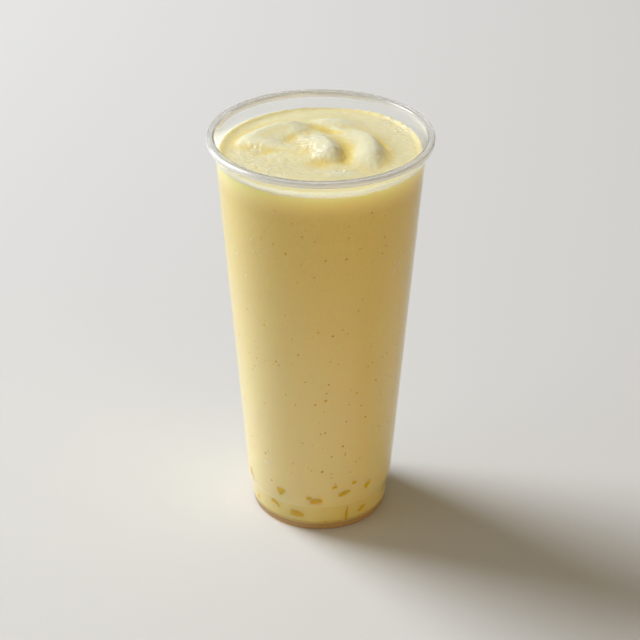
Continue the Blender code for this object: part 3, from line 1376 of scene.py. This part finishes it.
@dataclass
class MangoPieces:
    """Pieces of fruit that sank to the bottom of the drink and lie against the wall."""

    form: CupForm
    finish: FruitFlesh = FruitFlesh()
    touch: float = 0.28 * MM
    thickness: float = 2.2 * MM
    wear: float = 0.3 * MM
    wear_size: float = 1.2 * MM
    back_count: int = 16
    back_start: float = 85.0
    back_sweep: float = 190.0
    halo_margin: float = 1.1
    halo_depth: float = 4.0
    halo_gain: float = 1.6
    halo_most: float = 0.9
    seed: int = 5

    def pieces(self) -> list[FruitPiece]:
        """The pieces seen from the front, and others spread over the back.

        Returns:
            All pieces.
        """
        draw = random.Random(self.seed)
        back = []
        for i in range(self.back_count):
            share = (i + draw.uniform(0.1, 0.9)) / self.back_count
            azimuth = self.back_start + self.back_sweep * share
            length = draw.uniform(2.2, 7.5)
            back.append(
                FruitPiece(
                    azimuth,
                    height=draw.uniform(5.0, 24.0),
                    length=length,
                    width=min(length * draw.uniform(0.3, 0.75), 3.6),
                    turn=draw.uniform(-70, 70),
                    halo=draw.uniform(0.25, 0.45),
                    spread=draw.uniform(1.0, 1.8),
                    cut=list(Cut)[i % len(Cut)],
                )
            )
        return list(FRONT_FRUIT) + back

    def halos(self) -> list[Halo]:
        """Soft patches that the pieces leave in the drink's colour.

        Returns:
            One halo for each piece.
        """
        halos = []
        for piece in self.pieces():
            z = piece.height * MM
            place = wall_frame(piece.azimuth, self.form.inner_radius(z), z, piece.turn)
            margin = self.halo_margin * piece.spread
            radii = (
                (piece.length / 2 + margin) * MM,
                (piece.width / 2 + margin) * MM,
                self.halo_depth * MM,
            )
            halos.append(Halo(place, radii, min(piece.halo * self.halo_gain, self.halo_most)))
        return halos

    def build(self) -> bpy.types.Object:
        """Model one piece of each cut, copy it to every place and press the copies against the wall.

        Returns:
            The joined piece.
        """
        models = {Cut.CHUNK: self._chunk, Cut.WEDGE: self._wedge, Cut.CRESCENT: self._crescent}
        masters = {cut: model() for cut, model in models.items()}
        copies = []
        for item in self.pieces():
            copy = bpy.data.objects.new("mango_piece", masters[item.cut].data.copy())
            bpy.context.collection.objects.link(copy)
            self._press(copy, item)
            copies.append(copy)
        for master in masters.values():
            bpy.data.objects.remove(master)
        joined = join_pieces("mango_pieces", copies)
        joined.data.materials.append(self.finish.build())
        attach(joined, BODY)
        return joined

    def _press(self, piece: bpy.types.Object, item: FruitPiece) -> None:
        """Lay a unit shape against the wall, bent to it, and just past the drink's own skin.

        Args:
            piece: The copy of the unit shape.
            item: Its place, size and turn.
        """
        cosine, sine = math.cos(math.radians(item.turn)), math.sin(math.radians(item.turn))
        for vertex in piece.data.vertices:
            along, across = vertex.co.x * item.length * MM, vertex.co.y * item.width * MM
            worn = noise.noise_vector(Vector((along, across, item.azimuth * MM)) / self.wear_size)
            along += worn.x * self.wear
            across += worn.y * self.wear
            z = max(item.height * MM + along * sine + across * cosine, self.form.floor_top + MM)
            inner = self.form.inner_radius(z)
            angle = math.radians(item.azimuth) + (along * cosine - across * sine) / inner
            depth = min((vertex.co.z - 0.42) * self.thickness, 0.0)
            radius = inner + self.touch + depth
            vertex.co = (radius * math.sin(angle), -radius * math.cos(angle), z)

    @staticmethod
    def _chunk() -> bpy.types.Object:
        """A cut chunk of fruit, one unit long, with worn edges and one corner sliced off.

        Returns:
            The master chunk at the origin.
        """
        deselect_all()
        bpy.ops.mesh.primitive_cube_add(size=1.0)
        chunk = bpy.context.object
        bpy.ops.object.mode_set(mode="EDIT")
        bpy.ops.mesh.select_all(action="SELECT")
        bpy.ops.mesh.bisect(
            plane_co=(0.28, 0.28, 0.0), plane_no=(0.8, 0.6, 0.1), use_fill=True, clear_outer=True
        )
        bpy.ops.object.mode_set(mode="OBJECT")
        return shape_master(chunk, bevel=0.1, cuts=2, smoothness=0.2)

    @staticmethod
    def _wedge() -> bpy.types.Object:
        """A three-cornered piece with its point up, one unit long.

        Returns:
            The master wedge at the origin.
        """
        deselect_all()
        bpy.ops.mesh.primitive_cylinder_add(vertices=3, radius=0.6, depth=1.0)
        return shape_master(bpy.context.object, bevel=0.1, cuts=2, smoothness=0.0)

    @staticmethod
    def _crescent() -> bpy.types.Object:
        """A bent strip of flesh that sags in the middle, one unit long.

        Returns:
            The master crescent at the origin.
        """
        deselect_all()
        bend, start, end = 0.5, math.radians(-165), math.radians(-15)
        middle_y = bend / 2
        bpy.ops.mesh.primitive_circle_add(
            vertices=8,
            radius=0.2,
            fill_type="NGON",
            location=(bend * math.cos(start), middle_y + bend * math.sin(start), 0.0),
            rotation=(0.0, math.pi / 2, start + math.pi / 2),
        )
        crescent = bpy.context.object
        bpy.ops.object.mode_set(mode="EDIT")
        bpy.ops.mesh.select_all(action="SELECT")
        bpy.ops.mesh.spin(steps=8, angle=start - end, center=(0.0, middle_y, 0.0), axis=(0.0, 0.0, 1.0))
        bpy.ops.mesh.select_all(action="SELECT")
        bpy.ops.transform.resize(value=(1.0, 1.0, 2.5), center_override=(0.0, 0.0, 0.0))
        bpy.ops.object.mode_set(mode="OBJECT")
        settle(crescent)
        return shape_master(crescent, bevel=0.0, cuts=1, smoothness=0.0)


@dataclass(frozen=True)
class Scatter:
    """How small things are spread over the drink's side."""

    count: int
    low: float
    high: float
    smallest: float
    largest: float
    seed: int


class SpeckKind(Enum):
    """The kinds of small things at the wall."""

    PULP = "pulp"
    BUBBLE = "bubble"


@dataclass
class WallSpecks:
    """Tiny grains against the inside of the wall: browned pulp, or pale bubbles and streaks."""

    form: CupForm
    kind: SpeckKind
    finish: PulpFinish | FoamFinish
    slot: str
    seen: tuple[Point, ...]
    spread: Scatter
    streaks: tuple[tuple[float, float, float, float], ...] = ()
    streak_width: float = 0.42 * MM
    touch: float = 0.45 * MM

    def build(self) -> bpy.types.Object:
        """Model one grain and copy it to all its places.

        Returns:
            The joined grains.
        """
        draw = random.Random(self.spread.seed)
        middle_size = (self.spread.smallest + self.spread.largest) / 2
        places = []
        for azimuth, height in self.seen:
            size = draw.uniform(middle_size, self.spread.largest)
            places.append(self._place(azimuth, height * MM, size, draw))
        for i in range(self.spread.count):
            azimuth = 360 * (i + draw.random()) / self.spread.count
            size = draw.uniform(self.spread.smallest, middle_size)
            places.append(self._place(azimuth, draw.uniform(self.spread.low, self.spread.high), size, draw))
        for azimuth, height, length, turn in self.streaks:
            there = wall_frame(azimuth, self.form.inner_radius(height * MM), height * MM, turn)
            size = Matrix.Diagonal((length * MM / 2, self.streak_width, self.touch, 1.0))
            places.append(there @ size)
        joined = join_copies(f"wall_{self.kind.value}", self._grain(), places)
        joined.data.materials.append(self.finish.build())
        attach(joined, BODY)
        return joined

    def _place(self, azimuth: float, height: float, size: float, draw: random.Random) -> Matrix:
        """A place against the wall.

        Args:
            azimuth: Degrees from the front towards +X.
            height: Height above the foot, in metres.
            size: Half the grain's length, in metres.
            draw: Source of its shape and turn.

        Returns:
            The place as a matrix.
        """
        flat = draw.uniform(0.5, 1.0)
        depth = 0.6 * size
        radius = self.form.inner_radius(height) + self.touch - depth
        frame_there = wall_frame(azimuth, radius, height, draw.uniform(-90, 90))
        return frame_there @ Matrix.Diagonal((size, size * flat, depth, 1.0))

    @staticmethod
    def _grain() -> bpy.types.Object:
        """A grain of unit radius with a few dozen faces.

        Returns:
            The master grain at the origin.
        """
        deselect_all()
        bpy.ops.mesh.primitive_uv_sphere_add(segments=10, ring_count=6, radius=1.0)
        grain = bpy.context.object
        bpy.ops.object.mode_set(mode="EDIT")
        bpy.ops.mesh.select_all(action="SELECT")
        bpy.ops.transform.vertex_random(offset=0.16, uniform=0.0, normal=0.6, seed=3)
        bpy.ops.object.mode_set(mode="OBJECT")
        bpy.ops.object.shade_smooth_by_angle(angle=math.radians(80))
        return grain


@dataclass
class FoamLine:
    """A thin uneven film of foam and tiny bubbles where the drink's surface meets the wall."""

    form: CupForm
    finish: FoamFinish = FoamFinish()
    count: int = 420
    smallest: float = 0.10 * MM
    largest: float = 0.34 * MM
    seed: int = 11
    film_steps: int = 288
    film_half_height: float = 0.45 * MM
    film_depth: float = 0.5 * MM
    film_touch: float = 0.3 * MM
    film_wander: float = 0.5 * MM

    def build(self) -> bpy.types.Object:
        """Model the film and one bubble, and string copies of the bubble along the film.

        Returns:
            The joined foam.
        """
        joined = join_pieces("foam_line", [self._film(), self._bubbles()])
        joined.data.materials.append(self.finish.build())
        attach(joined, BODY)
        return joined

    def _film(self) -> bpy.types.Object:
        """The film: a flat ring that wanders up and down and swells and thins along the wall.

        Returns:
            The film.
        """
        middle_z = self.form.contact
        outer = self.form.inner_radius(middle_z) + self.film_touch
        half_depth = self.film_depth / 2
        middle_r = outer - half_depth
        ring = ellipse_arc((middle_r, middle_z), (half_depth, self.film_half_height), 0, 360, 8)
        film = turn_profile("foam_film", ring, self.film_steps)
        for vertex in film.data.vertices:
            around = Vector((vertex.co.x, vertex.co.y, 0.0)).normalized()
            swell = 1 + 0.6 * noise.noise(around * 14)
            wander = self.film_wander * noise.fractal(around * 7 + Vector((0.0, 0.0, 5.0)), 0.8, 2.0, 3)
            vertex.co.z = middle_z + (vertex.co.z - middle_z) * swell + wander
        return film

    def _bubbles(self) -> bpy.types.Object:
        """Tiny bubbles along the film.

        Returns:
            The joined bubbles.
        """
        draw = random.Random(self.seed)
        places = []
        for i in range(self.count):
            azimuth = 360 * (i + draw.random()) / self.count
            crowd = 0.5 + 0.5 * noise.noise(Vector((math.cos(math.radians(azimuth)) * 3, azimuth / 40, 0)))
            size = self.smallest + (self.largest - self.smallest) * draw.random() ** 2 * (0.5 + crowd)
            height = self.form.contact + draw.uniform(-0.25, 0.25) * MM
            radius = self.form.inner_radius(height) - size * 0.7
            places.append(wall_frame(azimuth, radius, height) @ Matrix.Scale(size, 4))
        return join_copies("foam_bubbles", self.bubble(), places)

    @staticmethod
    def bubble() -> bpy.types.Object:
        """A slightly flattened bubble of unit radius.

        Returns:
            The master bubble at the origin.
        """
        deselect_all()
        bpy.ops.mesh.primitive_uv_sphere_add(segments=10, ring_count=6, radius=1.0)
        bubble = bpy.context.object
        bpy.ops.object.mode_set(mode="EDIT")
        bpy.ops.mesh.select_all(action="SELECT")
        bpy.ops.transform.resize(value=(1.0, 0.8, 1.0))
        bpy.ops.object.mode_set(mode="OBJECT")
        bpy.ops.object.shade_smooth()
        return bubble


@dataclass
class SurfaceBubbles:
    """Tiny wet bubbles in clusters on the poured surface, and wet streaks that run to the wall behind,
    near-white so that they partly paint glints.
    """

    smoothie: Smoothie
    finish: WetFilm = WetFilm()
    facing: Vector = field(default_factory=lambda: Vector((-0.438, -0.355, 0.826)))
    unevenness: float = 0.1
    per_spot: int = 30
    smallest: float = 0.18 * MM
    largest: float = 0.46 * MM
    flatness: float = 0.24
    streak_count: int = 22
    streak_width: float = 0.2 * MM
    streak_angles: tuple[float, float] = (4.0, 50.0)
    streak_places: tuple[float, float] = (35.0 * MM, 41.3 * MM)
    seed: int = 17

    def build(self) -> bpy.types.Object:
        """Copy one bubble to all places on the surface, drawn out where it is a streak.

        Returns:
            The joined bubbles.
        """
        draw = random.Random(self.seed)
        places = []
        for spot_x, spot_y, spot_size in WET_SPOTS:
            for _ in range(self.per_spot):
                x = (spot_x + draw.gauss(0.0, 0.5) * spot_size) * MM
                y = (spot_y + draw.gauss(0.0, 0.5) * spot_size) * MM
                size = self.smallest + (self.largest - self.smallest) * draw.random() ** 2
                if math.hypot(x, y) < self.streak_places[1]:
                    place = self._place(x, y, draw.uniform(0, math.tau), draw)
                    places.append(place @ Matrix.Diagonal((size, size * 0.8, size * self.flatness, 1.0)))
        for _ in range(self.streak_count):
            angle = math.radians(draw.uniform(*self.streak_angles))
            away = draw.uniform(*self.streak_places)
            length = draw.uniform(0.25, 0.7) * MM
            heading = angle + draw.uniform(-0.3, 0.3)
            place = self._place(away * math.cos(angle), away * math.sin(angle), heading, draw)
            width = self.streak_width * draw.uniform(0.6, 1.4)
            places.append(place @ Matrix.Diagonal((length, width, width * self.flatness, 1.0)))
        joined = join_copies("surface_bubbles", FoamLine.bubble(), places)
        joined.data.materials.append(self.finish.build())
        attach(joined, BODY)
        return joined

    def _place(self, x: float, y: float, heading: float, draw: random.Random) -> Matrix:
        """A frame on the surface, leaning towards the side from which the wet spots shine.

        Args:
            x: Place on the drink.
            y: Place on the drink.
            heading: Turn of its X axis, in radians.
            draw: Source of its lean.

        Returns:
            The frame as a matrix.
        """
        lean = Vector([draw.gauss(0.0, self.unevenness) for _ in range(3)])
        normal = (self.facing + lean).normalized()
        ahead = Vector((math.cos(heading), math.sin(heading), 0.0))
        across = normal.cross(ahead).normalized()
        matrix = Matrix((across.cross(normal), across, normal)).transposed().to_4x4()
        matrix.translation = (x, y, self.smoothie.form.level + self.smoothie.rise(x, y))
        return matrix


@dataclass
class Studio:
    """The pale floor, the soft light and the camera."""

    focal_px: float = 2020.0
    frame_px: float = 640.0
    sensor: float = 36.0
    pitch: float = math.radians(29.65)
    roll: float = math.radians(0.18)
    distance: float = 0.878
    target_z: float = 0.0901
    key_place: tuple[float, float, float] = (-2.05, 1.18, 2.35)
    key_size: float = 1.6
    key_power: float = 105.0
    key_colour: tuple[float, float, float] = (0.95, 0.98, 1.0)
    fill_place: tuple[float, float, float] = (1.1, -2.1, 0.4)
    fill_size: float = 1.8
    fill_power: float = 16.3
    fill_colour: tuple[float, float, float] = (1.0, 0.76, 0.36)
    side_place: tuple[float, float, float] = (-2.65, -0.6, 0.9)
    side_size: float = 2.4
    side_power: float = 10.0
    side_colour: tuple[float, float, float] = (0.92, 0.98, 1.05)
    world_colour: tuple[float, float, float] = (1.0, 0.86, 0.63)
    world_strength: float = 0.188
    floor_size: float = 6.0
    finish: FloorFinish = field(default_factory=FloorFinish)

    def build(self) -> None:
        """Set up the floor, the lights, the camera and the plain view transform."""
        self._floor()
        self._light("key", self.key_place, self.key_size, self.key_power, self.key_colour)
        self._light("fill", self.fill_place, self.fill_size, self.fill_power, self.fill_colour)
        self._light("side", self.side_place, self.side_size, self.side_power, self.side_colour)
        self._world()
        self._camera()
        bpy.context.scene.view_settings.view_transform = "Standard"

    def _floor(self) -> None:
        """Lay the floor under the cup."""
        deselect_all()
        bpy.ops.mesh.primitive_plane_add(size=self.floor_size)
        floor = bpy.context.object
        floor.name = "floor"
        floor.data.materials.append(self.finish.build())

    def _light(
        self,
        name: str,
        place: tuple[float, float, float],
        size: float,
        power: float,
        colour: tuple[float, float, float],
    ) -> None:
        """Hang a soft round lamp that looks at the cup.

        Args:
            name: Name of the lamp.
            place: Where it hangs.
            size: Its diameter.
            power: Its power in watts.
            colour: Its colour.
        """
        lamp = bpy.data.lights.new(name, "AREA")
        lamp.shape = "DISK"
        lamp.size = size
        lamp.energy = power
        lamp.color = colour
        holder = bpy.data.objects.new(name, lamp)
        bpy.context.scene.collection.objects.link(holder)
        holder.location = place
        aim = Vector((0.0, 0.0, 0.1)) - Vector(place)
        holder.rotation_euler = aim.to_track_quat("-Z", "Y").to_euler()

    def _world(self) -> None:
        """Fill the room with even warm light."""
        world = bpy.data.worlds.new("room")
        world.use_nodes = True
        background = world.node_tree.nodes["Background"]
        background.inputs["Color"].default_value = (*self.world_colour, 1.0)
        background.inputs["Strength"].default_value = self.world_strength
        bpy.context.scene.world = world

    def _camera(self) -> None:
        """Place the camera at the photograph's viewing angle."""
        forward = Vector((0.0, math.cos(self.pitch), -math.sin(self.pitch)))
        level_right = Vector((1.0, 0.0, 0.0))
        level_up = level_right.cross(forward)
        right = level_right * math.cos(self.roll) + level_up * math.sin(self.roll)
        up = level_up * math.cos(self.roll) - level_right * math.sin(self.roll)
        lens = bpy.data.cameras.new("camera")
        lens.sensor_width = self.sensor
        lens.lens = self.sensor * self.focal_px / self.frame_px
        camera = bpy.data.objects.new("camera", lens)
        bpy.context.scene.collection.objects.link(camera)
        pose = Matrix((right, up, -forward)).transposed().to_4x4()
        pose.translation = Vector((0.0, 0.0, self.target_z)) - forward * self.distance
        camera.matrix_world = pose
        bpy.context.scene.camera = camera


SEEN_PULP = (
    (16, 151), (3, 141), (15, 141), (-3, 150), (-10, 152), (29, 161), (-20, 143), (38, 140), (24, 115),
    (-1, 106), (8, 104), (-14, 94), (-17, 68), (-3, 69), (4, 71), (26, 73), (19, 59), (34, 59), (4, 54),
    (17, 46), (9, 41), (2, 33),
)
SEEN_BUBBLES = (
    (-72, 143), (-43, 145), (-42, 140), (-45, 84), (59, 154), (53, 130), (64, 116), (68, 77), (61, 52),
    (53, 49), (66, 34),
)
SEEN_STREAKS = (
    (-44.6, 31.5, 3.0, -32), (54, 131, 2.6, 62), (66, 83, 2.4, 70), (70, 79, 1.6, 50), (58, 56, 1.8, 75),
    (-58, 134, 2.2, 60), (-50, 126, 1.4, 70), (60, 150, 1.6, 65), (50, 128, 1.8, 35), (63, 119, 1.6, 68),
    (57, 108, 1.4, 60), (60, 66, 1.5, 72), (64, 45, 1.6, 75), (47, 86, 1.2, 50), (69, 140, 1.4, 70),
)


def main() -> None:
    """Build every part of the smoothie and the studio, and report each piece."""
    logging.basicConfig(level=logging.INFO, format="%(message)s")
    log = logging.getLogger("smoothie")
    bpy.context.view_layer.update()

    form = CupForm()
    fruit = MangoPieces(form)
    smoothie = Smoothie(form)
    pulp_spread = Scatter(count=300, low=22 * MM, high=163 * MM, smallest=0.2 * MM, largest=0.72 * MM, seed=21)
    bubble_spread = Scatter(count=150, low=22 * MM, high=163 * MM, smallest=0.15 * MM, largest=0.5 * MM, seed=22)
    bubble_finish = FoamFinish(name="white_bubble", colour=(0.97, 0.98, 1.0), shade=(0.95, 0.96, 0.98))
    builders = (
        Cup(form).build,
        lambda: smoothie.build(fruit.halos()),
        fruit.build,
        WallSpecks(form, SpeckKind.PULP, PulpFinish(), "mango", SEEN_PULP, pulp_spread).build,
        WallSpecks(
            form, SpeckKind.BUBBLE, bubble_finish, "foam", SEEN_BUBBLES, bubble_spread, SEEN_STREAKS
        ).build,
        FoamLine(form).build,
        SurfaceBubbles(smoothie).build,
    )
    for build in builders:
        piece = build()
        log.info("%s: %d faces", piece.name, len(piece.data.polygons))
    Studio().build()


if __name__ == "__main__":
    main()
